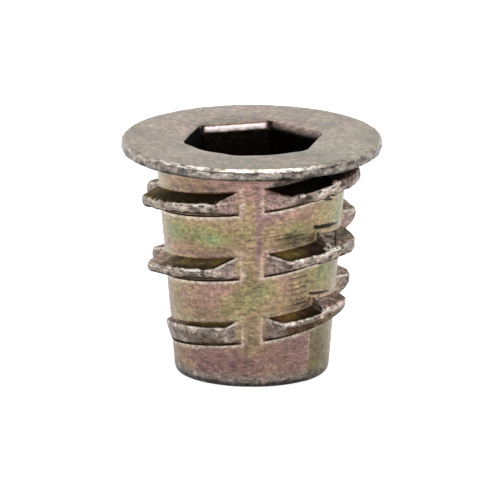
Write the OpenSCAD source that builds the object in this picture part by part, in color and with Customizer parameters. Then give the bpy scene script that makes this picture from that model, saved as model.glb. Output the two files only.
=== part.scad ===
// Hexagon-drive threaded insert for wood: one zinc casting, flange at the top,
// coarse interrupted thread outside, metric thread bore through the middle.
// Millimetres. +Z up along the axis, origin at the centre of the lower end face,
// -Y is the side a viewer stands at.

/* [Flange and body] */
// Length from the lower end face to the top of the flange
total_h = 16.0; // [13:0.1:20]
// Outside diameter of the flange
flange_d = 17.5; // [16.5:0.1:19]
// Thickness of the flange
flange_t = 0.85; // [0.7:0.05:1.5]
// Rounding of the two flange edges
flange_edge_r = 0.26; // [0.05:0.01:0.3]
// Diameter of the tapered body where it meets the flange
body_top_d = 12.90; // [12.4:0.02:13.4]
// Diameter the body taper would reach at the lower end face
body_low_d = 10.32; // [10.1:0.02:10.8]
// Fillet between the body and the underside of the flange
neck_r = 0.25; // [0.1:0.05:0.5]
// Height of the rounding round the lower end
foot_h = 0.6; // [0.3:0.05:1.2]
// Diameter of the lower end face inside the rounding
foot_d = 9.96; // [9.6:0.02:10.1]

/* [Outer thread] */
// Rise of the thread in one turn
pitch = 4.55; // [4.2:0.05:5]
// Height of the middle of the thread where it starts, under the flange
start_z = 14.19; // [14:0.01:14.4]
// Number of quarter-turn lengths the thread is cut into
quarters = 10; // [6:1:10]
// How far the thread stands out from the tapered body
thread_h = 1.76; // [1.2:0.02:2]
// Height of the upper edge of the crest above the middle of the thread
crest_up = 0.48; // [0.3:0.02:0.6]
// Thickness of the thread at its crest
crest_t = 0.56; // [0.3:0.02:0.6]
// Bevel of the two edges of the crest
crest_bevel = 0.08; // [0.03:0.01:0.15]
// Slope of the upper flank, down and outward
upper_slope = 13; // [5:0.5:20]
// Slope of the lower flank, up and outward
lower_slope = 20; // [10:0.5:30]
// Half width of the plain strips that interrupt the thread
strip_half = 0.80; // [0.5:0.05:1.2]
// Angle in plan between a strip's facing direction and a ramp's facing direction
ramp_turn = 36; // [28:1:45]
// Softness of the corner where a ramp meets the crest
tip_soft = 0.34; // [0.1:0.02:0.6]
// Step on the upper flanks at the parting line of the +X mould slide
parting_step = 0.76; // [0:0.02:0.9]

/* [Drive socket and bore] */
// Width across the flats of the hexagon socket
hex_af = 8.1; // [8:0.05:8.3]
// Depth of the hexagon socket below the flange top
hex_depth = 5.5; // [4:0.1:7]
// Core shift of the socket off the axis, +X and +Y
socket_x = 0.08; // [-0.15:0.01:0.15]
socket_y = -0.08; // [-0.15:0.01:0.15]
// Angle of one hexagon corner from the +X direction
hex_turn = 16; // [0:1:59]
// Rounding of the upright corners of the socket
hex_corner_r = 0.35; // [0.1:0.05:0.8]
// Depth of the steep lead-in at the mouth of the socket
lead_in_h = 0.64; // [0.3:0.02:1]
// Widening of the socket across that lead-in, each side
lead_in_w = 0.12; // [0.05:0.01:0.3]
// Height of the broken edge above the lead-in
mouth_h = 0.26; // [0.1:0.02:0.4]
// Widening of the socket across the broken edge, each side
mouth_w = 0.12; // [0.05:0.01:0.3]
// Radius the corners of the mouth are worn round to
mouth_r = 4.76; // [4.5:0.02:5]
// How far the flange top sinks toward the mouth
sink = 0.08; // [0.02:0.01:0.15]
// Radius at which that sinking starts
sink_r = 5.7; // [5.2:0.1:6.5]
// Wall diameter of the threaded bore (thread crests, inside)
bore_d = 6.8; // [6.6:0.05:7]
// Diameter of the lead-in cone at each end of the bore
lead_d = 8.0; // [7.4:0.1:8.2]

/* [Hidden] */
$fn = 96;

eps = 0.02;
under_z = total_h - flange_t;
// radius of the tapered body at height z
function body_r(z) = body_low_d / 2 + (body_top_d - body_low_d) / 2 * z / under_z;
lead_h = (lead_d - bore_d) / 2;

// ---------------------------------------------------------------- body
// Outline of the revolved body and flange, right half, from the axis outward.
module outline() {
    fr = flange_d / 2;
    e = flange_edge_r;
    n = neck_r;
    polygon(concat(
        [[0, 0]],
        [for (a = [90, 72, 54, 36, 18, 0])
            [foot_d / 2 + (body_r(foot_h) - foot_d / 2) * cos(a), foot_h * (1 - sin(a))]],
        [[body_r(under_z - n), under_z - n]],
        [for (a = [22.5, 45, 67.5])
            [body_r(under_z) + n - n * cos(a), under_z - n + n * sin(a)]],
        [[body_r(under_z) + n, under_z]],
        [for (a = [-90, -60, -30, 0]) [fr - e + e * cos(a), under_z + e + e * sin(a)]],
        [for (a = [0, 30, 60, 90]) [fr - e + e * cos(a), total_h - e + e * sin(a)]],
        [[0, total_h]]
    ));
}

module body() {
    rotate_extrude() outline();
}

// -------------------------------------------------------- outer thread
// The thread is a right-hand helix running down from under the flange.
// s is the angle travelled from its start at the +X strip, in degrees.
// Plain strips lie at s = 0, 90, 180 ... and the mould slides part half way
// between them. The slide on +X sat a little out of line: the front half of
// every length it shares with the -Y slide droops toward the +X strip, and its
// upper flank stands up in a step at the parting line, 45 degrees from +X.

// height of the middle of the thread
function mid_z(s) = start_z - pitch * s / 360;
// radius the crest follows, parallel to the body
function crest_r(s) = body_r(mid_z(s)) + thread_h;
// crest radius after the start and the worn-down lower end are taken off
function cap_r(s) = min(crest_r(s), lookup(s, [
    [0, 7.70], [20, 7.74], [50, 7.92], [150, 7.92], [165, 7.85], [180, 7.66], [200, 7.50],
    [330, 7.56], [345, 7.50], [372, 7.38], [400, 7.56], [510, 7.60], [525, 7.52], [560, 7.18],
    [700, 7.18], [738, 6.74], [765, 6.84], [790, 6.78], [830, 6.40], [860, 6.18], [880, 6.02]]));
// how far the crest leans in at its lower edge, where the mould was worn round
function lean(s) = lookup(s, [[720, 0.22], [745, 0.1], [770, 0], [800, 0], [835, 0.08],
                              [860, 0.22], [885, 0.45]]) * (s < 715 ? 0 : 1);
// distance of the flat ramp from the axis near the strip at s
function ramp_p(s) = let (r = body_r(mid_z(s)))
    sqrt(r * r - strip_half * strip_half) * cos(ramp_turn) - strip_half * sin(ramp_turn);
// radius of the ramp at the angle d from its strip
function ramp_r(s, d) = ramp_p(s) / cos(min(80, d + ramp_turn));
function soft_min(a, b, k) = let (h = max(k - abs(a - b), 0) / k)
    min(a, b) - h * h * k / 4;
function outer_r(s) = let (m = s % 90, d = min(m, 90 - m))
    soft_min(cap_r(s), ramp_r(s, d), tip_soft);

// how far the middle of the thread droops under the +X slide
function droop(s) = let (m = s % 360, turn = floor(s / 360))
    m > 45 ? 0 : lookup(turn, [[0, 0.05], [1, 0.32], [2, 0.14]]) * min(1, (45 - m) / 25);
// how far the lower flank rises at the thin end of the last turn
function rise(s) = lookup(s, [[719, 0], [720, 0.42], [740, 0.36], [765, 0.1], [780, 0]]);
// how far the foot of the upper flank is lifted there, 1 = the full step
function lift(s) = let (m = s % 360)
    m > 45 ? 0 : lookup(m, [[0, -0.3], [8, -0.26], [15, -0.17], [23, 0.09], [30, 0.3],
                            [39, 0.61], [45, 1]]);

// Height of a flank at radius r, angle s; up is true for the upper flank.
function flank(s, r, up) = let (
        R = crest_r(s),
        zc = mid_z(s) - droop(s) + crest_up,
        t = (R - r) / thread_h)
    up ? zc + (R - r) * tan(upper_slope) + (parting_step * lift(s) + droop(s)) * t
       : zc - crest_t - (R - r) * tan(lower_slope) + rise(s);

// position in plan: s = 0 lies on +X and s grows clockwise seen from above
function place(s, r, z) = [r * cos(s), -r * sin(s), z];

function section(s) = let (
        rb = body_r(mid_z(s)),
        ri = rb - 0.55,
        R = outer_r(s),
        Q = R - lean(s) * max(0, min(1, (R - rb) / 0.6)),
        b = min(crest_bevel, (R - ri) / 4),
        r1 = min(rb - 0.1, ri + (R - ri) * 0.4),
        r2 = r1 + (Q - b - r1) * 0.5)
    [
        place(s, ri, flank(s, ri, true)),
        place(s, r1, flank(s, r1, true)),
        place(s, r2, flank(s, r2, true)),
        place(s, R - b, flank(s, R - b, true)),
        place(s, R, flank(s, R, true) - b),
        place(s, Q, flank(s, Q, false) + b),
        place(s, Q - b, flank(s, Q - b, false)),
        place(s, r2, flank(s, r2, false)),
        place(s, r1, flank(s, r1, false)),
        place(s, ri, flank(s, ri, false))
    ];

// angles of the sections in half a quarter, measured from its strip; the two
// halves meet over the last degree, where the step lies
half_steps = [5.3, 7.6, 10, 12.5, 15, 17, 19, 21.2, 23.4, 26.2, 30.2, 34.6, 39.6, 44.6];

module quarter(k) {
    steps = concat(
        [for (d = half_steps) 90 * k + d],
        [for (i = [len(half_steps) - 1 : -1 : 0]) 90 * (k + 1) - half_steps[i]]);
    secs = [for (s = steps) section(s)];
    m = len(secs[0]);
    n = len(secs);
    polyhedron(
        points = [for (q = secs) each q],
        faces = concat(
            [[for (j = [m - 1 : -1 : 0]) j]],
            [[for (j = [0 : m - 1]) (n - 1) * m + j]],
            [for (i = [0 : n - 2]) for (j = [0 : m - 1])
                let (a = i * m + j, b = i * m + (j + 1) % m) each
                [[a, b, b + m], [a, b + m, a + m]]]
        ));
}

module outer_thread() {
    for (k = [0 : quarters - 1]) quarter(k);
}

// ------------------------------------------------ drive socket and bore
// hexagon prism from z1 to z2, half widths h1 and h2 at its ends
module hex_cone(z1, z2, h1, h2) {
    translate([0, 0, z1]) cylinder(h = z2 - z1, r1 = h1 / cos(30), r2 = h2 / cos(30), $fn = 6);
}

module drive_socket() {
    half = hex_af / 2;
    c = hex_corner_r;
    translate([socket_x, socket_y, 0]) rotate([0, 0, hex_turn]) {
        translate([0, 0, total_h - hex_depth])
            linear_extrude(height = hex_depth + 1)
                polygon([for (k = [0 : 5]) for (a = [-30, -15, 0, 15, 30])
                    [(half - c) / cos(30) * cos(60 * k) + c * cos(60 * k + a),
                     (half - c) / cos(30) * sin(60 * k) + c * sin(60 * k + a)]]);
        intersection() {
            union() {
                hex_cone(total_h - lead_in_h, total_h - mouth_h + eps, half, half + lead_in_w);
                hex_cone(total_h - mouth_h, total_h + eps,
                         half + lead_in_w - 0.01, half + lead_in_w + mouth_w);
            }
            translate([0, 0, total_h - 2]) cylinder(h = 3, r = mouth_r);
        }
    }
    // shallow sinking of the flange top round the mouth
    translate([socket_x, socket_y, total_h - sink]) cylinder(h = sink + eps, r1 = half + 0.1, r2 = sink_r);
}

module threaded_bore() {
    floor_z = total_h - hex_depth;
    translate([0, 0, -1]) cylinder(h = floor_z + 2, d = bore_d);
    translate([0, 0, floor_z - lead_h]) cylinder(h = lead_h + eps, r1 = bore_d / 2, r2 = lead_d / 2);
    translate([0, 0, -eps]) cylinder(h = lead_h + eps, r1 = lead_d / 2, r2 = bore_d / 2);
}

module insert() {
    color([0.62, 0.58, 0.50])
    difference() {
        union() {
            body();
            outer_thread();
        }
        drive_socket();
        threaded_bore();
    }
}

insert();
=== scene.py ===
"""The look of the threaded insert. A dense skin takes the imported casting's place,
with its relief and the metric thread. The finish is painted on the skin's points
and refined in the material, and a white studio and the camera follow. Lengths are
in millimetres until the skin is done, and in metres after that."""

import math

import bmesh
import bpy
import numpy as np
from mathutils import Matrix, Vector


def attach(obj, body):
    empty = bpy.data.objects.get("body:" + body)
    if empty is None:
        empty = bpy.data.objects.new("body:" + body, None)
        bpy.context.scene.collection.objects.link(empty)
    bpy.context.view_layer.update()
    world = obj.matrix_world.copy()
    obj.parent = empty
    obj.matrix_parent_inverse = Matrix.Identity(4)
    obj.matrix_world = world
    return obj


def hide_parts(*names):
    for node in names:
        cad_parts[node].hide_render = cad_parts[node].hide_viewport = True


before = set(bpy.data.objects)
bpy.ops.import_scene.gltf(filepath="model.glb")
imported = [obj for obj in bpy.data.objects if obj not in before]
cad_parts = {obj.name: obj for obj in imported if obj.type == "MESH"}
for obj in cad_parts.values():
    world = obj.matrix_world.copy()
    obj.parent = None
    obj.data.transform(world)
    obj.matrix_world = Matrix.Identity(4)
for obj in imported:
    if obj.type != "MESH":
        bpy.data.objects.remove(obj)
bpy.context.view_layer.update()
MM = 0.001

# ------------------------------------------------------------------ form
# The same sizes that the solid is built from, in millimetres. Angles are in
# degrees. An angle round the axis runs clockwise from +X, with the viewer at 90,
# and an angle along the thread goes on past 360 from turn to turn.
TOTAL_H, FLANGE_T, FLANGE_R = 16.0, 0.85, 8.75
UNDER_Z = TOTAL_H - FLANGE_T
BODY_TOP_R, BODY_LOW_R = 6.45, 5.16
PITCH, START_Z, TURNS_DEG = 4.55, 14.19, 900.0
THREAD_H, CREST_UP, CREST_T = 1.76, 0.48, 0.56
FLANK_SLOPE = math.tan(math.radians(13))
STRIP_HALF = 0.80               # half the width of a plain strip
RAMP_TURN = math.radians(36)    # the turn of the ramps at both sides of it
STEP_DEG = 45                   # the parting line, where the upper flanks have a step
HEX_R = 4.05                    # half the socket's width across flats
SOCKET_OUT = 4.95               # inside this radius is the socket or the bore

# crest radius after wear, as angle along the thread and radius
CREST_R = [(0, 7.70), (20, 7.74), (50, 7.92), (150, 7.92), (165, 7.85), (180, 7.66), (200, 7.50),
           (330, 7.56), (345, 7.50), (372, 7.38), (400, 7.56), (510, 7.60), (525, 7.52), (560, 7.18),
           (700, 7.18), (738, 6.74), (765, 6.84), (790, 6.78), (830, 6.40), (860, 6.18), (880, 6.02)]


def body_r(z):
    return BODY_LOW_R + (BODY_TOP_R - BODY_LOW_R) * z / UNDER_Z


def smooth(a, b, x):
    """0 on the side of a, 1 on the side of b, and an even passage between them."""
    t = np.clip((x - a) / (b - a), 0.0, 1.0)
    return t * t * (3 - 2 * t)


def along(x, stops):
    """A value that runs straight from one (place, value) stop to the next."""
    places, values = zip(*stops)
    return np.interp(x, places, values)


def turned_from(angle, middle):
    """The angle from the middle to another angle, -180 to 180."""
    return (angle - middle + 180) % 360 - 180


def lattice(ix, iy, iz, seed):
    """A repeatable random number from 0 to 1 for each whole-number point."""
    h = (ix * 374761393 + iy * 668265263 + iz * 2147483647 + seed * 974711) & 0xFFFFFFFF
    h = ((h ^ (h >> 13)) * 1274126177) & 0xFFFFFFFF
    h = (h ^ (h >> 16)) & 0xFFFFFFFF
    return h / 4294967295.0


def noise(p, size, seed):
    """Smooth noise from -1 to 1 with lumps about `size` mm across."""
    q = p / size
    i = np.floor(q).astype(np.int64)
    f = q - i
    f = f * f * (3 - 2 * f)
    total = np.zeros(len(p))
    for dx in (0, 1):
        for dy in (0, 1):
            for dz in (0, 1):
                w = ((f[:, 0] if dx else 1 - f[:, 0]) * (f[:, 1] if dy else 1 - f[:, 1])
                     * (f[:, 2] if dz else 1 - f[:, 2]))
                total += w * lattice(i[:, 0] + dx, i[:, 1] + dy, i[:, 2] + dz, seed)
    return total * 2 - 1


def fractal(p, size, seed, octaves=3):
    """Noise with finer and weaker noise on top."""
    total, gain = np.zeros(len(p)), 1.0
    for k in range(octaves):
        total += gain * noise(p, size / 2 ** k, seed + 17 * k)
        gain *= 0.5
    return total / (2 - 0.5 ** (octaves - 1))


class Place:
    """Where each point lies on the insert."""

    def __init__(self, p):
        self.p = p
        self.r = np.hypot(p[:, 0], p[:, 1])
        self.z = p[:, 2]
        self.a = np.degrees(np.arctan2(-p[:, 1], p[:, 0])) % 360
        self.out = self.r - body_r(self.z)
        self.strip = np.abs((self.a + 45) % 90 - 45)
        self.s = self.nearest_turn()
        self.locate_crest()

    def nearest_turn(self):
        """The angle along the thread, on the turn that is nearest in height."""
        best = np.full(len(self.p), 1e9)
        pick = self.a.copy()
        for turn in range(3):
            s = self.a + 360 * turn
            crest_z = START_Z - PITCH * s / 360 + CREST_UP - CREST_T / 2
            d = np.abs(self.z - crest_z)
            ok = (s <= TURNS_DEG) & (d < best)
            best = np.where(ok, d, best)
            pick = np.where(ok, s, pick)
        return pick

    def locate_crest(self):
        """How far outside the crest (reach) and above its upper edge (rise) each point
        lies, and the height where the upper flank meets the body (root)."""
        mid = START_Z - PITCH * self.s / 360
        rb = body_r(mid)
        # the ramps are flat faces
        flat = np.sqrt(rb * rb - STRIP_HALF ** 2) * math.cos(RAMP_TURN) - STRIP_HALF * math.sin(RAMP_TURN)
        ramp = flat / np.cos(np.minimum(1.4, np.radians(self.strip) + RAMP_TURN))
        full = rb + THREAD_H
        crest = np.minimum(np.minimum(full, along(self.s, CREST_R)), ramp)
        m, turn = self.s % 360, np.floor(self.s / 360)
        droop = np.where(m > STEP_DEG, 0, along(turn, [(0, 0.05), (1, 0.32), (2, 0.14)])
                         * np.minimum(1, (STEP_DEG - m) / 25))
        lift = np.where(m > STEP_DEG, 0, 0.76 * along(m, [(0, -0.3), (8, -0.26), (15, -0.17), (23, 0.09),
                                                          (30, 0.3), (39, 0.61), (45, 1)]))
        part = (full - crest) / THREAD_H
        self.reach = self.r - crest
        self.rise = self.z - (mid + CREST_UP - droop + (full - crest) * FLANK_SLOPE
                              + (lift + droop) * part)
        self.root = mid + CREST_UP + THREAD_H * FLANK_SLOPE + lift


# ------------------------------------------------------------------ skin
SKIN_TRIANGLES = 190000
VOXEL, QUICK_VOXEL = 0.06, 0.11
THREAD_TOP = UNDER_Z - 0.1      # the outer thread lies below this height
BORE_R, BORE_TOP = 3.4, 10.45   # the threaded bore, up to just below the socket's floor
METRIC_PITCH, METRIC_DEPTH, GROOVE_SHARE = 1.25, 0.60, 7 / 8

# the worn front edges of the hexagon: middle in degrees, depth in mm, reach in degrees
WORN_EDGES = [(76, 0.62, 17), (134, 0.48, 15)]


def coordinates(mesh):
    co = np.empty(len(mesh.vertices) * 3, np.float32)
    mesh.vertices.foreach_get("co", co)
    return co.reshape(-1, 3).astype(np.float64)


def normals(mesh):
    no = np.empty(len(mesh.vertices) * 3, np.float32)
    mesh.vertex_normals.foreach_get("vector", no)
    return no.reshape(-1, 3).astype(np.float64)


def put(mesh, p):
    mesh.vertices.foreach_set("co", p.astype(np.float32).ravel())
    mesh.update()


def store(mesh, name, values):
    layer = mesh.attributes.new(name, "FLOAT", "POINT")
    layer.data.foreach_set("value", values.astype(np.float32))


def relax(mesh, p, rounds, amount=0.5, keep=None):
    """Rounds edges by moving each point toward the middle of its neighbours."""
    e = np.empty(len(mesh.edges) * 2, np.int32)
    mesh.edges.foreach_get("vertices", e)
    e = e.reshape(-1, 2)
    n = len(p)
    count = np.bincount(e.ravel(), minlength=n).astype(np.float64)
    for _ in range(rounds):
        total = np.empty_like(p)
        for k in range(3):
            total[:, k] = (np.bincount(e[:, 0], p[e[:, 1], k], n)
                           + np.bincount(e[:, 1], p[e[:, 0], k], n))
        step = (total / count[:, None] - p) * amount
        p = p + (step if keep is None else step * keep[:, None])
    return p


def folding(mesh, p):
    """How sharply the surface folds at each point: above 0 on edges, below 0 in corners."""
    near = relax(mesh, p, 3, 0.6)
    bend = ((p - near) * normals(mesh)).sum(1)
    return relax(mesh, np.repeat(bend[:, None], 3, 1), 1, 0.5)[:, 0]


def with_modifier(obj, kind, **settings):
    """Applies one modifier to obj and gives back its new mesh."""
    mod = obj.modifiers.new(kind.lower(), kind)
    for name, value in settings.items():
        setattr(mod, name, value)
    deps = bpy.context.evaluated_depsgraph_get()
    mesh = bpy.data.meshes.new_from_object(obj.evaluated_get(deps), depsgraph=deps)
    obj.modifiers.clear()
    obj.data = mesh
    return mesh


def build_skin():
    """A closed, evenly meshed copy of the solid in millimetres, with its relief."""
    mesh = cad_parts["insert"].data.copy()
    mesh.materials.clear()
    mesh.transform(Matrix.Scale(1 / MM, 4))
    bm = bmesh.new()
    bm.from_mesh(mesh)
    bmesh.ops.remove_doubles(bm, verts=bm.verts, dist=0.0005)
    bm.to_mesh(mesh)
    bm.free()
    obj = bpy.data.objects.new("insert_skin", mesh)
    bpy.context.scene.collection.objects.link(obj)
    dense = with_modifier(obj, "REMESH", mode="VOXEL", voxel_size=VOXEL)

    p = relax(dense, coordinates(dense), 2)
    put(dense, p)
    # the upper flanks slope so little that the voxels leave steps in them
    q = Place(p)
    flat = ((normals(dense)[:, 2] > 0.8) & (q.out > 0.12) & (q.reach < -0.10)
            & (q.z < THREAD_TOP)).astype(float)
    p = relax(dense, p, 14, 0.6, flat)
    # the ends of the lengths at both sides are worn round
    ends = (smooth(50, 30, np.minimum(q.a % 180, 180 - q.a % 180)) * smooth(0.95, 1.25, q.out)
            * (q.z < THREAD_TOP))
    p = relax(dense, p, 30, 0.6, ends)
    p = shape(dense, p)
    put(dense, p)
    store(dense, "fold", folding(dense, p))

    ratio = min(1.0, SKIN_TRIANGLES / (2.0 * len(dense.polygons)))
    lean = with_modifier(obj, "DECIMATE", ratio=ratio, use_collapse_triangulate=True)
    lean.name = "insert_skin"
    return obj


def metric_cut(q, n):
    """How far the metric thread cuts outward from the wall of the bore."""
    inside = (q.r < 3.75) & (q.z > 0.05) & (q.z < BORE_TOP) & (np.abs(n[:, 2]) < 0.8)
    turn = (q.z / METRIC_PITCH + np.radians(q.a) / (2 * math.pi)) % 1.0
    groove = np.clip(1 - np.abs(turn - 0.5) * 2 / GROOVE_SHARE, 0, 1) * METRIC_DEPTH
    run = smooth(0.1, 0.7, q.z) * (1 - smooth(9.6, 10.3, q.z))
    return np.where(inside, np.maximum(0, BORE_R + groove * run - q.r), 0)


def lumps(p, q):
    """Lumps of the casting: slow on the body, coarser on crests and rim."""
    outside = q.r > SOCKET_OUT
    crest = outside * smooth(1.0, 1.45, q.out) * (q.z < THREAD_TOP)
    rim = smooth(8.45, 8.62, q.r)
    slow = fractal(p, 2.6, 3) * 0.014
    rough = (fractal(p, 0.8, 11) * 0.09 + noise(p, 0.3, 12) * 0.055) * crest
    rough += (fractal(p, 0.9, 21) * 0.035 + noise(p, 0.3, 22) * 0.035) * rim
    return slow * outside + rough


def shape(mesh, p):
    """Casting marks, worn edges, the fine thread: everything finer than the solid."""
    put(mesh, p)
    n = normals(mesh)
    q = Place(p)
    radial = np.stack([p[:, 0], p[:, 1], np.zeros(len(p))], 1) / np.maximum(q.r, 1e-6)[:, None]

    p = p + radial * metric_cut(q, n)[:, None]
    p = p + n * lumps(p, q)[:, None]

    # the upper edge of the rim is knocked flat
    over = (np.hypot(p[:, 0], p[:, 1]) - FLANGE_R) + (p[:, 2] - TOTAL_H) + 0.21 + 0.05 * fractal(p, 0.8, 23)
    cut = np.maximum(over, 0) * 0.5
    p = p - radial * cut[:, None]
    p[:, 2] -= cut

    # the two front edges of the hexagon are worn round
    for middle, deep, wide in WORN_EDGES:
        deg = turned_from(q.a, middle)
        wall = HEX_R / np.cos(np.radians(np.clip(deg, -28, 28)))
        worn = (deep * np.exp(-(deg / wide) ** 2) * np.exp(-(np.maximum(0, q.r - wall) / 0.45) ** 2)
                * smooth(TOTAL_H - 0.8, TOTAL_H - 0.05, q.z) * (q.r < 6) * (np.abs(deg) < 40))
        p = p + radial * worn[:, None]

    # the body stands a little proud on the right of the parting line
    turned = turned_from(q.a, 0)
    step = 0.05 * smooth(45.3, 44.3, turned) * smooth(15, 40, turned)
    step *= (q.r > SOCKET_OUT) * (q.out < 0.3) * (q.z < UNDER_Z - 0.3)
    p = p + radial * step[:, None]

    # never outside the solid's own box
    r = np.hypot(p[:, 0], p[:, 1])
    shrink = np.where(r > FLANGE_R, FLANGE_R / np.maximum(r, 1e-6), 1.0)
    p[:, 0] *= shrink
    p[:, 1] *= shrink
    p[:, 2] = np.clip(p[:, 2], 0.0, TOTAL_H)
    return p


skin = build_skin()


# ---------------------------------------------------------------- finish
def linear(r, g, b):
    """A colour written as it looks on a screen, 0 to 255, as light."""
    c = np.array([r, g, b], float) / 255
    return np.where(c <= 0.04045, c / 12.92, ((c + 0.055) / 1.055) ** 2.4)


# the tints are written as they look, and the studio shows a surface at this part
# of its own colour
STUDIO_LEVEL = 0.70

# the tints of the chromate, from thin mauve to thick green
TINTS = np.array([
    linear(150, 118, 122),   # mauve
    linear(178, 142, 130),   # pink
    linear(174, 146, 120),   # tan
    linear(170, 154, 112),   # straw
    linear(151, 161, 108),   # green
    linear(134, 165, 138),   # teal
])

# where the tints lie on the side toward the viewer: angle, height, reach in
# degrees, reach in mm, tint from 0 mauve to 1 teal
PATCHES = [
    # first band, under the flange, and the top of the second
    (158, 14.3, 11, 0.8, 0.62), (132, 14.4, 20, 0.7, 0.40), (104, 14.5, 12, 0.7, 0.10),
    (75, 14.6, 16, 0.7, 0.12), (128, 12.1, 26, 0.5, 0.32), (104, 11.9, 10, 0.6, 0.40),
    # second band, left of the front strip
    (148, 10.1, 10, 0.6, 0.96), (154, 11.4, 12, 0.55, 0.56), (133, 10.8, 16, 0.7, 0.70),
    (119, 10.4, 9, 0.6, 0.92), (104, 10.9, 10, 1.0, 0.58), (125, 9.7, 26, 0.35, 0.36),
    (140, 9.3, 26, 0.3, 0.12),
    # front strip
    (91, 13.8, 9, 0.8, 0.18), (91, 11.7, 6, 1.0, 0.60), (91, 9.6, 7, 1.0, 0.42),
    (91, 6.7, 7, 1.1, 0.66), (91, 4.4, 7, 1.0, 0.50),
    # second band, right of the strip, and the far right edge
    (70, 10.5, 9, 0.3, 0.60), (16, 7.6, 7, 1.2, 0.72), (18, 11.8, 8, 1.2, 0.80),
    (80, 9.6, 6, 0.3, 0.05), (79, 12.1, 9, 0.6, 0.02), (58, 12.2, 14, 0.5, 0.22),
    (66, 11.1, 12, 0.5, 0.68), (78, 10.3, 8, 0.5, 0.40), (56, 11.2, 8, 0.5, 0.52),
    (35, 11.9, 12, 1.0, 0.64),
    # third band
    (160, 5.4, 9, 2.0, 0.52), (132, 6.0, 14, 0.9, 0.30), (117, 6.9, 9, 0.8, 0.10),
    (104, 5.6, 8, 0.8, 0.66), (140, 4.6, 14, 0.5, 0.50), (108, 7.6, 10, 0.4, 0.40),
    (79, 6.9, 6, 0.7, 0.72), (73, 6.1, 7, 0.6, 0.42), (65, 7.2, 7, 0.6, 0.26),
    (54, 7.3, 8, 0.9, 0.66), (60, 5.8, 8, 0.5, 0.45), (34, 7.6, 10, 0.9, 0.86),
    # lowest band
    (152, 1.6, 12, 1.6, 0.36), (126, 1.7, 14, 1.0, 0.06), (102, 1.9, 10, 0.9, 0.10),
    (90, 3.0, 6, 0.5, 0.50), (90, 1.4, 8, 0.8, 0.20), (65, 2.2, 14, 1.0, 0.08),
    (53, 2.2, 6, 1.2, 0.03), (34, 2.2, 8, 2.0, 0.62),
]

# places on the side that are darker (below 1) or lighter, partly painted shade, as toward the right edge
# and over the roots, partly the coat's own tone: angle, height, reach in degrees, reach in mm, factor
SHADES = [
    (62, 10.4, 8, 0.55, 0.72), (50, 10.6, 6, 0.5, 0.80), (95, 10.5, 12, 1.2, 0.93),
    (140, 9.8, 30, 0.8, 0.95), (138, 5.6, 30, 1.6, 0.92), (120, 2.4, 60, 1.6, 0.78),
    (36, 2.6, 10, 1.9, 0.52), (24, 2.2, 6, 2.2, 0.82), (62, 2.2, 12, 2.0, 0.87),
    (160, 14.3, 12, 0.8, 1.10), (36, 7.4, 12, 1.2, 0.80), (55, 6.4, 8, 0.8, 0.86),
    (26, 10.9, 12, 1.0, 0.94), (68, 10.45, 9, 0.32, 0.74), (20, 7.6, 10, 1.1, 0.68),
    (18, 11.6, 8, 1.4, 0.88), (92, 6.8, 7, 1.8, 0.80), (88, 11.6, 5, 1.4, 0.90),
    (52, 11.2, 10, 0.8, 0.86),
]

RIM_ARC = 0.152      # mm round the rim for each degree

# along the thread, as stops of (angle along the thread, value)
CREST_TONE = [(0, 0.92), (84, 0.96), (96, 0.86), (180, 0.80), (400, 0.83), (444, 0.85), (456, 0.92),
              (540, 0.86), (700, 0.80), (804, 0.84), (816, 0.85), (900, 0.82)]
# painted highlights (above 1) and painted shade (below 1) along the crests
CREST_LIGHT_AND_SHADE = [(0, 1.0), (34, 1.1), (40, 1.3), (42, 1.6), (55, 1.6), (57, 0.9), (60, 0.26), (68, 0.26),
                (70, 0.8), (90, 1.0), (98, 1.2), (180, 1.1), (360, 1.0), (397, 1.1), (402, 1.7),
                (417, 1.7), (424, 1.1), (440, 1.1), (458, 1.15), (540, 1.15), (700, 1.2), (804, 1.2),
                (816, 1.3), (900, 1.0)]
# painted shade on the lower half of the crests
CREST_LOWER_SHADE = [(690, 0.36), (700, 0.80), (804, 0.80), (816, 0.60)]
# painted shade over the upper flanks, in the first turn and in the later ones
FIRST_TURN_SHADE = [(0, 0.0), (10, 0.0), (24, 0.05), (31, 0.20), (36, 0.998), (92, 0.96), (128, 0.88),
               (144, 0.78), (154, 0.35), (164, 0.05), (180, 0.0)]
LATER_TURN_SHADE = [(400, 0), (404, 0.75), (412, 0.65), (424, 0), (700, 0), (764, 0.7), (772, 0.6), (784, 0)]
# painted highlight on the upper edge of the crests, along the thread
SHINE = [(0, 0.0), (40, 0.1), (43, 0.8), (55, 0.8), (58, 0.0), (63, 0.2), (65, 1.0), (67, 0.2), (70, 0.0),
         (80, 0.0), (104, 0.1), (109, 1.0), (115, 1.0), (120, 0.3), (160, 0.1), (175, 0.0), (396, 0.0),
         (401, 0.75), (478, 0.45), (510, 0.1), (518, 0.0), (545, 0.0), (730, 0.1), (762, 0.25),
         (770, 0.35), (848, 0.35), (862, 0.2), (880, 0.0)]
# painted highlight on the upper edge of the sloping ends, along the thread
RAMP_HIGHLIGHT = [(0, 0.3), (60, 0.3), (68, 0.1), (84, 0.1), (96, 0.5), (112, 0.5), (160, 0.4), (360, 0.6),
             (420, 1.0), (900, 1.0)]


def spot_at(q, angle, height, wide, tall):
    """1 at a place on the side, fading round it."""
    return np.exp(-(turned_from(q.a, angle) / wide) ** 2 - ((q.z - height) / tall) ** 2)


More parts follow.
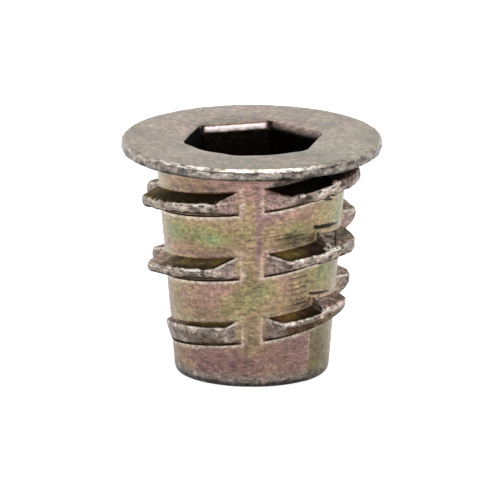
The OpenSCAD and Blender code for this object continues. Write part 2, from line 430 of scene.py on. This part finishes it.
def tint_of(q):
    """The colour of the coat, blended from the patches and loosened with noise."""
    total = np.full(len(q.p), 0.16)
    hue = (0.42 + 0.42 * fractal(q.p * np.array([1, 1, 1.4]), 3.4, 51)) * total
    for *place, tint in PATCHES:
        w = spot_at(q, *place)
        total += w
        hue += w * tint
    flat = q.p * np.array([1, 1, 1.8])
    hue = hue / total + 0.16 * fractal(flat, 1.1, 52) + 0.08 * fractal(flat, 0.45, 53)
    x = np.clip(hue, 0, 0.9999) * (len(TINTS) - 1)
    i = np.minimum(x.astype(int), len(TINTS) - 2)
    f = (x - i)[:, None]
    return TINTS[i] * (1 - f) + TINTS[i + 1] * f


def shade_of(q):
    """Darker and lighter places on the body, partly painted shade and partly the coat's tone."""
    total = np.ones(len(q.p))
    for *place, factor in SHADES:
        total *= 1 + (factor - 1) * spot_at(q, *place)
    return total


def mix(a, b, w):
    """Colour b over colour a, with a weight for each point."""
    w = w[:, None]
    return a * (1 - w) + b * w


class Finish:
    """Colour, roughness and grain of the finish, laid on layer by layer at each point."""

    def __init__(self, mesh):
        fold = np.empty(len(mesh.vertices), np.float32)
        mesh.attributes["fold"].data.foreach_get("value", fold)
        self.fold = fold.astype(np.float64)
        self.p = coordinates(mesh)
        self.n = normals(mesh)
        self.q = Place(self.p)
        self.side = self.q.z < UNDER_Z - 0.05
        self.on_top = smooth(TOTAL_H - 0.16, TOTAL_H - 0.06, self.q.z)
        self.coat = (tint_of(self.q) * 0.84
                     * (shade_of(self.q) * self.mottle(0.35, 0.9, 60))[:, None])
        self.rough = np.full(len(self.p), 0.34)
        self.grain = np.full(len(self.p), 1.15)
        self.clear = np.ones(len(self.p))

    def mottle(self, amount, size, seed, low=0.0, high=9.0):
        """A factor that wanders about 1 in lumps of the given size."""
        return np.clip(1 + amount * fractal(self.p, size, seed), low, high)

    def cover(self, colour, weight, factor=None):
        if factor is not None:
            colour = colour * factor[:, None]
        self.coat = mix(self.coat, colour, weight)

    def darken(self, weight):
        self.coat = self.coat * (1 - weight)[:, None]


def finish_crests(f):
    """Crests and ramps: the coat is thin and grey where the mould was worn, with painted highlights and
    shade along the crests.
    """
    q, side = f.q, f.side
    body = side * smooth(0.25, 0.1, q.out)
    proud = side * smooth(0.02, 0.36, q.out)
    crest = side * (smooth(12, 22, q.strip) * smooth(0.3, 0.6, q.out))
    grey = mix(linear(150, 133, 127) * along(q.s, CREST_TONE)[:, None], linear(158, 128, 126),
               smooth(30, 20, np.abs(q.s - 85)) * 0.7)
    f.cover(grey, 0.9 * proud, f.mottle(1.1, 0.6, 61, 0.3, 2))
    # painted highlights and shade along the crests
    f.cover(linear(164, 151, 143), 0.75 * crest, along(q.s, CREST_LIGHT_AND_SHADE) * f.mottle(1.3, 0.8, 62, 0.3, 2))
    # painted shade: the lower half of a crest is darker and a little browner
    lower = smooth(-0.14, -0.42, q.rise) * smooth(-0.3, -0.1, q.reach) * crest
    f.coat = f.coat * (1 - np.outer(along(q.s, CREST_LOWER_SHADE) * lower, [1.0, 1.08, 1.16]))
    # the right end of the first length is brown below
    brown = (smooth(43, 40, q.s) * smooth(2, 6, q.s) * proud * smooth(-0.42, -0.34, q.rise)
             * smooth(0.3, 0.6, q.out))
    hue = mix(linear(74, 52, 40), linear(86, 78, 38), smooth(26, 20, q.s))
    f.cover(hue, 0.92 * brown, f.mottle(0.6, 0.6, 63))
    f.grain = f.grain + 0.65 * proud + 0.25 * smooth(8, 5, q.strip) * body
    f.rough = f.rough - 0.04 * crest


def finish_flanks(f):
    """Upper flanks: olive in front, grey at the sides, with painted shade: dark in the first turn, and
    inside the crest and by the root in the later turns.
    """
    q, s = f.q, f.q.s
    m = s % 360
    up = smooth(0.72, 0.90, f.n[:, 2]) * f.side * smooth(-0.02, 0.12, q.out)
    front = smooth(42, 48, m) * (1 - smooth(156, 170, m))
    flank = mix(linear(112, 98, 82), linear(126, 108, 44), front)
    for colour, where in (
            ((108, 90, 36), smooth(450, 460, s) * smooth(500, 492, s)),
            ((132, 106, 92), smooth(700, 720, s) * (1 - front)),
            ((130, 116, 104), smooth(160, 180, m)),
            ((126, 102, 44), smooth(142, 152, s) * smooth(172, 164, s)),
            ((96, 66, 34), smooth(66, 54, m) * smooth(44, 47, m) * (s > 200)),
            ((118, 78, 40), smooth(8, 3, np.abs(m - 72)) * (s > 700)),
            ((78, 52, 38), smooth(38, 32, s)),
            ((112, 106, 34), smooth(14, 8, s)),
            ((84, 66, 38), smooth(492, 500, s) * smooth(560, 545, s)),
            ((168, 147, 132), smooth(504, 511, s) * smooth(560, 545, s)),
            ((136, 120, 108), smooth(856, 862, s))):
        flank = mix(flank, linear(*colour), where)
    front = front * (1 - smooth(854, 860, s))
    f.cover(flank, 0.9 * up, f.mottle(0.55, 0.6, 64))
    # painted shade: a dark band inside the crest of the later turns
    rim = smooth(-0.85, -0.20, q.reach) * front * smooth(180, 360, s)
    rim = rim * (1 - smooth(492, 502, s) * smooth(560, 545, s))
    f.darken(0.80 * up * rim)
    # painted shade in the hollow of the first turn, and by the roots of the later ones
    black = np.where(s < 200, along(s, FIRST_TURN_SHADE), 0)
    black = black * np.where(s > 150, 1 - 0.6 * smooth(-0.6, -0.2, q.reach), 1)
    root = 1 - smooth(0.0, 0.9, q.out)
    later = np.maximum(along(s, LATER_TURN_SHADE) * front, np.where(s > 200, 0.2 * root * front, 0))
    f.darken(up * np.maximum(black, later))
    f.rough = f.rough + 0.45 * up
    f.clear = 1 - 0.9 * up
    f.grain = f.grain - 0.3 * up * front + 0.5 * up * (1 - front)


def shade_step(f):
    """Painted shade: the dark recess under the flange at the front right, the step's own faces, and a
    painted shadow under the crest beside the first one."""
    q, side = f.q, f.side
    above = q.z - q.root
    wedge = np.clip((86 - q.a) * 0.016, 0, 0.6)
    recess = (side * (q.a > 20) * (q.a < 88) * smooth(-0.06, 0.0, above)
              * smooth(wedge + 0.05, wedge, above) * (q.s < 90) * (q.out < 0.5))
    f.darken(0.98 * recess)
    # 1 where a face looks straight round the axis
    angle = np.radians(q.a)
    around = np.cos(angle) * f.n[:, 1] * -1 - np.sin(angle) * f.n[:, 0]
    face = side * smooth(0.5, 0.8, around) * (np.abs(q.s % 360 - STEP_DEG) < 2.5) * (q.out > 0.1)
    # painted shade on the faces of the step
    f.darken(np.where(q.s < 90, 0.99, 0.55) * face)
    shadow_beside_step = (side * smooth(33, 35, q.s) * smooth(50, 48, q.s) * smooth(-0.22, -0.32, q.reach)
           * smooth(0.04, 0.10, q.out) * smooth(-0.9, -0.7, q.rise))
    f.darken(0.97 * shadow_beside_step)


def finish_foot(f):
    """Painted shade in the corners, and the foot is dull and pale grey, a painted highlight along its lower
    edge, with painted shade along the bottom edge.
    """
    z = f.q.z
    # painted shade in the corners
    f.darken(0.5 * smooth(-0.006, -0.020, f.fold) * f.side)
    foot = smooth(0.95, 0.55, z)
    # painted highlight: pale grey along the lower edge
    f.cover(linear(156, 148, 144), 0.85 * foot, f.mottle(0.6, 0.6, 65))
    # painted shade along the bottom edge
    f.darken(0.7 * smooth(0.50, 0.24, z))
    f.rough = f.rough + 0.08 * foot
    f.grain = f.grain + 0.6 * foot


def finish_flange(f):
    """Sandy grey-beige on top, with painted shade toward the viewer and round the outer edge, darker and
    rough round the rim, and painted shade below.
    """
    q, on_top = f.q, f.on_top
    top = linear(131, 119, 103) * (1 + 0.55 * fractal(f.p, 1.6, 71)[:, None])
    # painted shade: the top is darker toward the viewer
    toward_viewer = smooth(0.3, 0.95, np.cos(np.radians(q.a - 92)))
    top = top * (1 - 0.10 * toward_viewer * smooth(4.0, 5.0, q.r))[:, None]
    top = top * (1 + np.array([0.10, -0.05, 0.0]) * fractal(f.p, 1.3, 72)[:, None])
    # greener toward the front right, pinker round the socket and at the left
    warm = np.cos(np.radians(q.a - 215)) * 0.5 + 0.5 * smooth(1.2, 0.0, q.r - 4.5)
    top = top * (1 + np.array([0.06, -0.02, 0.02]) * warm[:, None])
    # painted shade on the outermost ring of the top, where it curves down, and darker round the socket's
    # mouth
    top = top * (1 - 0.10 * smooth(8.0, 8.6, q.r) - 0.12 * smooth(0.5, 0.1, q.r - 4.3))[:, None]
    f.cover(top, on_top)
    f.grain = f.grain * (1 + 0.05 * on_top)

    edge = smooth(UNDER_Z - 0.02, UNDER_Z + 0.03, q.z) * (1 - on_top) * smooth(8.2, 8.5, q.r)
    # marks on the rim are longer round it than they are high
    arc = q.a * RIM_ARC
    ring = np.stack([arc * 0.4, np.zeros_like(arc), q.z], 1)
    f.cover(linear(150, 141, 134), edge, np.clip(1 + 1.2 * fractal(ring, 0.32, 73), 0.12, 1.55))
    # painted shade along the lower edge of the rim
    f.darken(0.85 * edge * smooth(UNDER_Z + 0.34, UNDER_Z + 0.06, q.z))
    f.darken(0.25 * edge * smooth(60, 50, q.a))
    f.darken(0.28 * edge * smooth(118, 130, q.a) * smooth(176, 166, q.a)
             * smooth(TOTAL_H - 0.14, TOTAL_H - 0.22, q.z))
    f.rough = f.rough + 0.12 * on_top - 0.08 * edge
    f.grain = f.grain + 0.5 * edge
    # painted shade under the flange
    below = (smooth(UNDER_Z + 0.03, UNDER_Z - 0.02, q.z) * smooth(7.2, 7.6, q.r)
             * smooth(-0.5, -0.8, f.n[:, 2]))
    f.darken(0.7 * below)


def finish_socket(f):
    """Painted shade: the inside is black. Painted light on the ledge of the mouth at the back right, and a
    painted highlight on the lead-in at the back.
    """
    q = f.q
    socket_shade = ((q.r < SOCKET_OUT) * (1 - smooth(TOTAL_H - 0.30, TOTAL_H - 0.12, q.z))
             * smooth(0.0, 0.3, q.z))
    f.cover(linear(26, 21, 18), 0.97 * socket_shade)
    # this one angle runs anticlockwise
    turned = np.degrees(np.arctan2(f.p[:, 1], f.p[:, 0]))
    right = smooth(12, 18, turned) * smooth(76, 70, turned)
    lit_ledge = ((q.r < 5.15) * smooth(TOTAL_H - 0.52, TOTAL_H - 0.44, q.z)
             * smooth(TOTAL_H, TOTAL_H - 0.05, q.z))
    f.cover(linear(140, 120, 114), 0.9 * lit_ledge * right, f.mottle(0.3, 0.6, 81))
    # a painted highlight on the lead-in at the back left, with a dark line over it
    d = turned_from(turned, 106)
    lead_in_highlight = (smooth(28.5, 27.0, np.abs(d)) * smooth(15.43, 15.49, q.z) * smooth(15.80, 15.75, q.z)
           * (q.r < SOCKET_OUT))
    over = (np.abs(d) < 30) * smooth(15.76, 15.80, q.z) * (1 - f.on_top) * (q.r < SOCKET_OUT)
    f.cover(linear(84, 66, 62), over)
    f.cover(np.array([0.76, 0.63, 0.65]) * 0.62, lead_in_highlight)
    f.rough = f.rough - 0.10 * lead_in_highlight
    f.grain = f.grain * (1 - 0.75 * lead_in_highlight)


def paint(mesh):
    """Works out the finish and stores it on the mesh for the material."""
    f = Finish(mesh)
    for layer in (finish_crests, finish_flanks, shade_step, finish_foot, finish_flange, finish_socket):
        layer(f)
    q = f.q
    # painted shade on the undersides of the thread
    under = smooth(-0.34, -0.56, f.n[:, 2]) * f.side * smooth(0.01, 0.08, q.out)
    # a painted highlight along the upper edge of the sloping ends beside the strips
    slope = smooth(23.5, 21.5, q.strip) * smooth(4, 6, q.strip) * f.side * along(q.s, RAMP_HIGHLIGHT)
    # how strong the painted highlight on the crest edges is along the thread
    shine = np.where((q.s > 417) & (q.s < 430), 0.15, along(q.s, SHINE))
    shine = np.clip(shine + 0.45 * fractal(f.p, 1.0, 66), 0, 1) * f.side * (1 - slope)

    colour = np.concatenate([np.clip(f.coat / STUDIO_LEVEL, 0, 1), np.ones((len(f.p), 1))], 1)
    layer = mesh.color_attributes.new("coat", "FLOAT_COLOR", "POINT")
    layer.data.foreach_set("color", colour.astype(np.float32).ravel())
    for name, values in (("matt", f.rough), ("grain", f.grain), ("under", under), ("rise", q.rise),
                         ("reach", q.reach), ("shine", shine), ("clear", f.clear), ("slope", slope)):
        store(mesh, name, values)


# -------------------------------------------------------------- material
class Wire:
    """The value of a socket. Arithmetic on it adds maths nodes."""

    def __init__(self, graph, socket):
        self.graph, self.socket = graph, socket

    def __add__(self, other):
        return self.graph.math("ADD", self, other)

    def __radd__(self, other):
        return self.graph.math("ADD", other, self)

    def __sub__(self, other):
        return self.graph.math("SUBTRACT", self, other)

    def __rsub__(self, other):
        return self.graph.math("SUBTRACT", other, self)

    def __mul__(self, other):
        return self.graph.math("MULTIPLY", self, other)

    def __truediv__(self, other):
        return self.graph.math("DIVIDE", self, other)

    def __gt__(self, other):
        return self.graph.math("GREATER_THAN", self, other)

    def __lt__(self, other):
        return self.graph.math("LESS_THAN", self, other)

    def __abs__(self):
        return self.graph.math("ABSOLUTE", self)


class Graph:
    """Short names for building a node tree."""

    def __init__(self, tree):
        self.tree = tree
        tree.nodes.clear()

    def feed(self, socket, value):
        if isinstance(value, Wire):
            self.tree.links.new(value.socket, socket)
        else:
            socket.default_value = value

    def node(self, kind, inputs=None, output=0, **settings):
        """Adds a node, feeds its inputs and gives back one of its outputs."""
        n = self.tree.nodes.new(kind)
        for name, value in settings.items():
            setattr(n, name, value)
        for key, value in (inputs or {}).items():
            self.feed(n.inputs[key], value)
        return Wire(self, n.outputs[output])

    def end(self, kind, surface):
        """The output node of the tree, fed with its surface."""
        self.feed(self.tree.nodes.new(kind).inputs[0], surface)

    def split(self, vector):
        n = self.tree.nodes.new("ShaderNodeSeparateXYZ")
        self.feed(n.inputs[0], vector)
        return [Wire(self, part) for part in n.outputs]

    def scaled(self, vector, factor):
        return self.node("ShaderNodeVectorMath", {0: vector, "Scale": factor}, operation="SCALE")

    def stretched(self, vector, *factors):
        return self.node("ShaderNodeMapping", {"Vector": vector, "Scale": factors})

    def math(self, operation, *args):
        return self.node("ShaderNodeMath", dict(enumerate(args)), operation=operation)

    def most(self, a, b):
        return self.math("MAXIMUM", a, b)

    def ramp(self, src, a, b, lo=0.0, hi=1.0, kind="SMOOTHSTEP"):
        """lo on the side of a, hi on the side of b."""
        return self.node("ShaderNodeMapRange", {"Value": src, "From Min": a, "From Max": b,
                                                "To Min": lo, "To Max": hi}, interpolation_type=kind)

    def straight(self, src, a, b, lo, hi):
        return self.ramp(src, a, b, lo, hi, "LINEAR")

    def window(self, src, a, b, c, d):
        """Rises from a to b and falls from c to d."""
        return self.ramp(src, a, b) * self.ramp(src, d, c)

    def near(self, src, middle, far, close):
        """1 closer to the middle than `close`, 0 further from it than `far`."""
        return self.ramp(abs(src - middle), far, close)

    def mix(self, w, a, b, kind="MIX"):
        return self.node("ShaderNodeMix", {0: w, 6: a, 7: b}, 2, data_type="RGBA", blend_type=kind)

    def noise(self, at, scale, detail, rough):
        return self.node("ShaderNodeTexNoise", {"Vector": at, "Scale": scale, "Detail": detail,
                                                "Roughness": rough}, "Fac")

    def attribute(self, name, output="Fac"):
        return self.node("ShaderNodeAttribute", None, output, attribute_name=name)


# the foot of a thread length on the body: its middle's height over the helix, half
# its height, and the angle from a strip's middle to its end
FOOT_UP, FOOT_HALF, FOOT_END = 0.083, 0.803, 8.2
BODY_ARC = 0.103     # mm round the body for each degree


class Spot:
    """Where a shaded point lies, and the noises that all marks share."""

    def __init__(self, g):
        mm = g.scaled(g.node("ShaderNodeTexCoord", None, "Object"), 1 / MM)
        x, y, z = g.split(mm)
        self.x, self.y, self.z = x, y, z
        self.round = g.math("WRAP", g.math("DEGREES", g.math("ARCTAN2", y * -1.0, x)), 360.0, 0.0)
        self.radius = g.math("SQRT", x * x + y * y)
        self.proud = self.radius - (z * ((BODY_TOP_R - BODY_LOW_R) / UNDER_Z) + BODY_LOW_R)
        self.from_strip = abs(g.math("WRAP", self.round + 45.0, 90.0, 0.0) - 45.0)
        # what is drawn on the outside isn't drawn on the wall of the bore behind it
        self.outer = self.radius > SOCKET_OUT
        # height above the middle of the nearest turn, -pitch/2 to +pitch/2
        helix = z + self.round * (PITCH / 360)
        self.over = g.math("WRAP", helix - (START_Z - PITCH / 2 + FOOT_UP), PITCH, 0.0) - PITCH / 2
        last = START_Z - PITCH * (TURNS_DEG - 8) / 360      # where the thread ends
        self.threaded = (helix < START_Z + 1.6) * ((z - self.over) > last)

        flat = g.stretched(mm, 1.0, 1.0, 1.7)
        self.streak = g.stretched(mm, 1.0, 1.0, 5.0)
        self.fine = g.noise(flat, 4.4, 2.0, 0.55)
        self.mid = g.noise(flat, 2.1, 3.0, 0.6)
        self.dust = g.noise(mm, 10.0, 1.0, 0.5)
        self.drawn = g.noise(self.streak, 1.4, 4.0, 0.6)

        # distance outside the footprint of a thread length on the body, in mm
        dv = g.most(abs(self.over) - FOOT_HALF, 0.0)
        dh = g.most((FOOT_END - self.from_strip) * BODY_ARC, 0.0)
        sway = g.noise(mm, 1.8, 2.0, 0.5) - 0.5
        self.beside = g.most(dh + sway * g.math("MINIMUM", dh * 2.0, 0.5), 0.0)
        self.away = g.math("SQRT", dv * dv + self.beside * self.beside)


class Look:
    """The colour of the finish, and the light and dark in it, as marks are laid over it."""

    def __init__(self, g, colour, light):
        self.g, self.colour, self.light = g, colour, light

    def cover(self, weight, colour):
        self.colour = self.g.mix(weight, self.colour, colour)

    def darken(self, weight):
        self.light = self.light * (1.0 - weight)

    def paint_highlight(self, weight, colour):
        """Covers with an even colour that has no grain: a painted highlight."""
        self.cover(weight, colour)
        self.light = self.light + weight * (1.0 - self.light)


def speckled(g, at):
    """The painted coat with its speckle: lighter and darker, pinker and greener."""
    light = g.straight(at.fine, 0.25, 0.75, 0.66, 1.34) * g.straight(at.mid, 0.25, 0.75, 0.62, 1.38)
    light = light * g.straight(at.dust, 0.2, 0.8, 0.84, 1.16)
    light = light * g.straight(at.drawn, 0.3, 0.7, 0.82, 1.18)
    light = 1.0 + g.attribute("grain") * (light - 1.0)
    hue = g.ramp(g.noise(at.streak, 2.2, 3.0, 0.6), 0.34, 0.66)
    shift = g.mix(hue, (1.08, 0.96, 1.03, 1), (0.95, 1.03, 0.90, 1))
    return Look(g, g.mix(1.0, g.attribute("coat", "Color"), shift, "MULTIPLY"), g.most(light, 0.12))


# Each draw_ function lays its marks over the look. Those that give something back
# give the masks that the surface needs too.
def draw_root_highlights(g, at, look):
    """A painted highlight round each length of thread, on the fillet where it meets the body: thin and
    bright below, soft above and beside it."""
    beside = at.beside
    soft_end = g.ramp(beside, 0.0, 0.1, 0.30, 0.42) + at.drawn * 0.2
    line = g.ramp(at.away, 0.04, 0.10) * g.ramp(at.away, soft_end, 0.08)
    line = line * (g.ramp(at.proud, 0.16, 0.04) * (at.threaded * at.outer))
    line = line * g.most(0.30 + g.ramp(at.over, 0.2, -0.2) * 0.70, g.ramp(beside, 0.02, 0.10, 0.0, 0.44))
    line = line * g.ramp(at.mid, 0.30, 0.60, 0.65, 1.0)
    look.cover(line, g.mix(g.ramp(beside, 0.0, 0.15), (0.98, 0.84, 0.68, 1), (0.88, 0.66, 0.56, 1)))
    return line


def draw_runs(g, at, look):
    """Mauve where the coat ran down beside the front strip, olive beyond the witness
    line on the lowest band."""
    run = g.near(at.round, 83.8 + at.mid * 4.0, 2.4, 0.8) * g.window(at.z, 5.0, 11.0, 14.2, 14.8)
    run = run * (g.ramp(at.proud, 0.16, 0.04) * at.outer)
    look.cover(run * 0.65, (0.37, 0.22, 0.24, 1))
    olive = g.window(at.round, 14, 22, 44.2, 44.9) * g.ramp(at.z, 4.9, 4.4)
    look.cover(olive * (at.outer * 0.55), (0.24, 0.20, 0.10, 1))


def draw_tool_marks(g, at, look):
    """Fine cuts beside the parting line on the second and third bands."""
    third = g.window(at.round, 49, 51, 61, 68) * g.window(at.z, 5.5, 5.8, 7.7, 8.3)
    second = g.window(at.round, 50, 55, 66, 80) * g.window(at.z, 9.6, 9.9, 10.6, 11.1)
    wave = g.math("SINE", (at.z * 17.0 + at.round * 0.14) + at.mid * 7.0)
    look.darken(g.ramp(wave, -0.1, 0.9) * (third * 0.55 + second * 0.40) * at.outer)


def draw_contact_shadow(g, at, look):
    """Painted shadow: the dark line where the underside of the thread meets the body."""
    contact_shadow = g.ramp(at.over, -0.45, -0.62) * (g.ramp(at.proud, 0.60, 0.40) * at.threaded)
    contact_shadow = g.ramp(at.away, 0.11, 0.06) * contact_shadow
    contact_shadow = contact_shadow * (g.ramp(at.beside, 0.06, 0.0) * g.ramp(at.from_strip, 7.5, 14.0, 0.45, 1.0))
    look.darken(contact_shadow * 0.70)
    look.cover(contact_shadow, (0.22, 0.11, 0.05, 1))
    return contact_shadow


# dark slits on the body, the first two along the upper roots of the side lengths and the last under the
# crest of the first turn being painted shade, the others folds in the metal: angle and height where a slit
# starts, angle and height where it ends, half its width and its darkness
SLITS = [
    (48, 10.93, 15, 10.56, 0.15, 0.95), (49, 6.30, 22, 5.96, 0.10, 0.86), (51, 5.76, 63, 5.62, 0.07, 0.62),
    (52, 5.98, 66, 5.86, 0.05, 0.5), (76, 10.42, 51, 10.62, 0.09, 0.60), (62, 10.30, 48, 10.36, 0.07, 0.55),
    (80, 10.62, 60, 10.78, 0.05, 0.45), (58, 13.06, 52, 13.12, 0.10, 0.70),
    (44, 12.98, 29, 12.46, 0.16, 0.92),
]


def draw_slits_and_crease(g, at, look):
    """Dark slits on the body, some of them painted shade, and a crease down the side flank of the second
    turn.
    """
    for a0, z0, a1, z1, half, deep in SLITS:
        part = (at.round - a0) / (a1 - a0)
        off = abs(at.z - (z0 + part * (z1 - z0))) + (at.fine - 0.5) * 0.12
        width = g.ramp(part, 1.05, 0.45) * half
        slit = g.ramp(off / (width + 0.001), 1.25, 0.7) * (g.ramp(part, -0.04, 0.06) * deep)
        look.darken(slit * (at.outer * (at.proud < 0.25)))
    crease = g.near(at.x, 5.45 + at.mid * 0.24, 0.10, 0.04)
    crease = crease * g.window(at.y, -5.0, -4.7, -2.9, -2.6) * ((at.z > 9.0) * (at.z < 11.2))
    look.darken(crease * 0.85)


def draw_dabs(g, at, look):
    """The witness lines of the slide, the one on the lowest band a painted highlight on the edge of the
    step, and a pale dab by the lower step.
    """
    seam = g.near(at.round, 48.7, 0.9, 0.3) * g.window(at.z, 5.8, 6.0, 8.2, 8.6)
    seam = seam * g.ramp(at.fine, 0.45, 0.62)
    dab = g.near(at.round, 48.8, 0.9, 0.5) * g.window(at.z, 5.86, 5.95, 6.36, 6.45)
    witness = g.near(at.round, 45.3, 0.9, 0.4) * (g.ramp(at.z, 4.35, 4.15) * g.ramp(at.z, 1.0, 1.8))
    marks = g.most(g.most(seam * 0.3, dab * 0.5), witness * 0.38)
    look.cover(at.outer * marks, (0.80, 0.68, 0.56, 1))


def draw_socket(g, at, look):
    """Painted shade makes the left wall of the socket black, and a painted highlight makes its front edge
    pale.
    """
    wall = g.window(at.round, 160, 166, 218, 224)
    wall = wall * (g.ramp(at.z, TOTAL_H - 0.05, TOTAL_H - 0.09) * (at.radius < 5.0))
    look.cover(wall, (0.002, 0.002, 0.002, 1))
    from_flat = g.math("RADIANS", g.math("WRAP", at.round - 46.0, 60.0, 0.0) - 30.0)
    lip_highlight = g.ramp(at.radius * g.math("COSINE", from_flat) - HEX_R, 0.50, 0.34)
    lip_highlight = lip_highlight * (at.z > TOTAL_H - 0.17) * g.window(at.round, 96, 112, 158, 170)
    look.cover(lip_highlight * 0.55, (0.66, 0.56, 0.49, 1))
    return wall


def draw_edge_highlights(g, at, look, rise, reach, slope):
    """Painted highlights: the upper edge of crests, rim and ramps, and a glint by the step. Gives back both
    masks, and how deep the highlighted edge is rounded off in the relief."""
    shine = g.attribute("shine")
    edge_highlight = g.window(rise, -0.21, -0.14, 0.03, 0.10) * g.ramp(reach, -0.10, -0.05)
    edge_highlight = edge_highlight * g.ramp(at.proud, 0.10, 0.25) * (at.z < THREAD_TOP)
    edge_highlight = edge_highlight * g.ramp(shine + (at.mid - 0.5), 0.30, 0.60)
    # painted highlight on the upper edge of the rim, toward the front
    rim_highlight = g.window(at.z, TOTAL_H - 0.26, TOTAL_H - 0.18, TOTAL_H - 0.03, TOTAL_H) * (at.radius > 8.3)
    rim_highlight = rim_highlight * (g.ramp(at.round, 57.0, 64.0, 0.10, 1.0) * g.ramp(at.round, 150.0, 122.0, 0.15, 1.0))
    rim_highlight = rim_highlight * g.ramp(at.drawn, 0.40, 0.54)
    glint = g.near(at.round, 45.6, 2.4, 1.6) * g.window(at.radius, 7.00, 7.10, 7.35, 7.45)
    glint = glint * ((at.z > 9.2) * (at.z < 10.3))
    edge_highlight = g.most(edge_highlight, g.most(rim_highlight, glint))
    look.paint_highlight(edge_highlight, (0.93, 0.87, 0.78, 1))
    # painted highlight along the upper edge of the sloping ends
    slope_highlight = g.window(rise, -0.19, -0.15, 0.06, 0.12) * g.ramp(reach, -0.12, -0.07)
    slope_highlight = slope_highlight * (slope * g.ramp(at.proud, 0.02, 0.10)) * g.ramp(at.mid, 0.34, 0.52, 0.45, 1.0)
    look.paint_highlight(slope_highlight, (1.0, 0.86, 0.74, 1))
    bevel = g.ramp(rise, -0.26, -0.03) * (g.ramp(reach, -0.12, -0.05) * g.most(shine, slope * 0.6))
    return edge_highlight, slope_highlight, bevel * (g.ramp(at.proud, 0.1, 0.25) * 0.15)


def chromate():
    mat = bpy.data.materials.new("chromate_zinc")
    mat.use_nodes = True
    g = Graph(mat.node_tree)
    at = Spot(g)
    under, clear = g.attribute("under"), g.attribute("clear")
    look = speckled(g, at)
    line = draw_root_highlights(g, at, look)
    draw_runs(g, at, look)
    draw_tool_marks(g, at, look)
    contact_shadow = draw_contact_shadow(g, at, look)
    draw_slits_and_crease(g, at, look)
    draw_dabs(g, at, look)
    wall = draw_socket(g, at, look)
    # painted shade: the undersides are almost black
    look.cover(g.ramp(under, 0.35, 0.65, 0.0, 0.93), (0.085, 0.042, 0.016, 1))
    edge_highlight, slope_highlight, bevel = draw_edge_highlights(g, at, look, g.attribute("rise"), g.attribute("reach"),
                                           g.attribute("slope"))
    lit = g.scaled(look.colour, look.light)

    # the painted shade under the thread, along the contact line and on the socket wall doesn't shine;
    # elsewhere roughness wanders round its painted value
    dull = g.most(g.most(g.ramp(under, 0.35, 0.65), contact_shadow), wall)
    wander = g.attribute("matt") + g.straight(at.mid, 0.3, 0.7, -0.06, 0.06)
    # the clear coat is left off where the colour is near black, as in the painted shade
    grey = g.node("ShaderNodeRGBToBW", {0: lit})
    relief = at.fine * 0.016 + at.mid * 0.024 + line * 0.02 - bevel
    surface = g.node("ShaderNodeBsdfPrincipled", {
        "Base Color": lit,
        "Roughness": g.most(dull, wander - edge_highlight * 0.16),
        "Metallic": g.straight(clear, 0.0, 1.0, 0.66, 0.92) * (1.0 - slope_highlight * 0.85),
        "Coat Weight": clear * g.ramp(grey, 0.015, 0.12, 0.0, 0.6),
        "Coat Roughness": 0.16,
        "Normal": g.node("ShaderNodeBump", {"Strength": 1.0, "Distance": MM, "Height": relief})})
    g.end("ShaderNodeOutputMaterial", surface)
    return mat


paint(skin.data)
skin.data.materials.append(chromate())
skin.data.polygons.foreach_set("use_smooth", [True] * len(skin.data.polygons))
skin.data.transform(Matrix.Scale(MM, 4))
skin.data.update()
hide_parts("insert")
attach(skin, "root")


# ---------------------------------------------------------------- studio
def room():
    """A white room that is dark behind the viewer, with two lamps."""
    world = bpy.data.worlds.new("studio")
    bpy.context.scene.world = world
    world.use_nodes = True
    g = Graph(world.node_tree)
    way = g.node("ShaderNodeTexCoord", None, "Generated")
    _, y, z = g.split(way)
    # dark side of the room, from the horizon to well up
    dark = g.ramp(y, 0.10, -0.30) * g.ramp(z, 0.60, 0.38)
    overhead = g.ramp(z, 0.85, 0.94, 0.0, 1.7)
    level = g.ramp(dark, 0.0, 1.0, 0.85, 0.02) + overhead
    # small lamp low at the front right
    toward_lamp = Vector((0.50, -0.80, 0.34)).normalized()
    lamp = g.node("ShaderNodeVectorMath", {0: way, 1: toward_lamp}, "Value", operation="DOT_PRODUCT")
    level = level + g.ramp(lamp, 0.955, 0.985, 0.0, 2.4)
    # the camera sees plain white
    seen = g.node("ShaderNodeLightPath", None, "Is Camera Ray")
    strength = g.node("ShaderNodeMix", {0: seen, 2: level, 3: 1.0}, data_type="FLOAT")
    g.end("ShaderNodeOutputWorld", g.node("ShaderNodeBackground", {"Color": (1, 1, 1, 1),
                                                                   "Strength": strength}))


def lay_floor():
    """A white floor that takes a soft shadow and meets the white behind it."""
    half = 0.6
    mesh = bpy.data.meshes.new("floor")
    mesh.from_pydata([(-half, -half, 0), (half, -half, 0), (half, half, 0), (-half, half, 0)], [],
                     [(0, 1, 2, 3)])
    floor = bpy.data.objects.new("floor", mesh)
    bpy.context.scene.collection.objects.link(floor)
    mat = bpy.data.materials.new("floor_white")
    mat.use_nodes = True
    g = Graph(mat.node_tree)
    seen = g.node("ShaderNodeLightPath", None, "Is Camera Ray")
    matt = g.node("ShaderNodeBsdfDiffuse", {"Color": (0.71, 0.71, 0.71, 1)})
    glow = g.node("ShaderNodeEmission", {"Strength": seen * 0.75})
    g.end("ShaderNodeOutputMaterial", g.node("ShaderNodeAddShader", {0: matt, 1: glow}))
    mesh.materials.append(mat)


def camera():
    """A long lens, a little above the part, aimed at its middle."""
    cam = bpy.data.cameras.new("camera")
    cam.sensor_width = 36
    cam.lens = 750.8
    cam.clip_end = 10
    obj = bpy.data.objects.new("camera", cam)
    bpy.context.scene.collection.objects.link(obj)
    up = math.radians(15.401)
    distance = 0.7
    target = Vector((-0.119, 0, 8.13)) * MM
    obj.location = target + Vector((0, -math.cos(up), math.sin(up))) * distance
    obj.rotation_euler = (math.pi / 2 - up, 0, 0)
    bpy.context.scene.camera = obj


bpy.context.scene.view_settings.view_transform = "Standard"
room()
lay_floor()
camera()
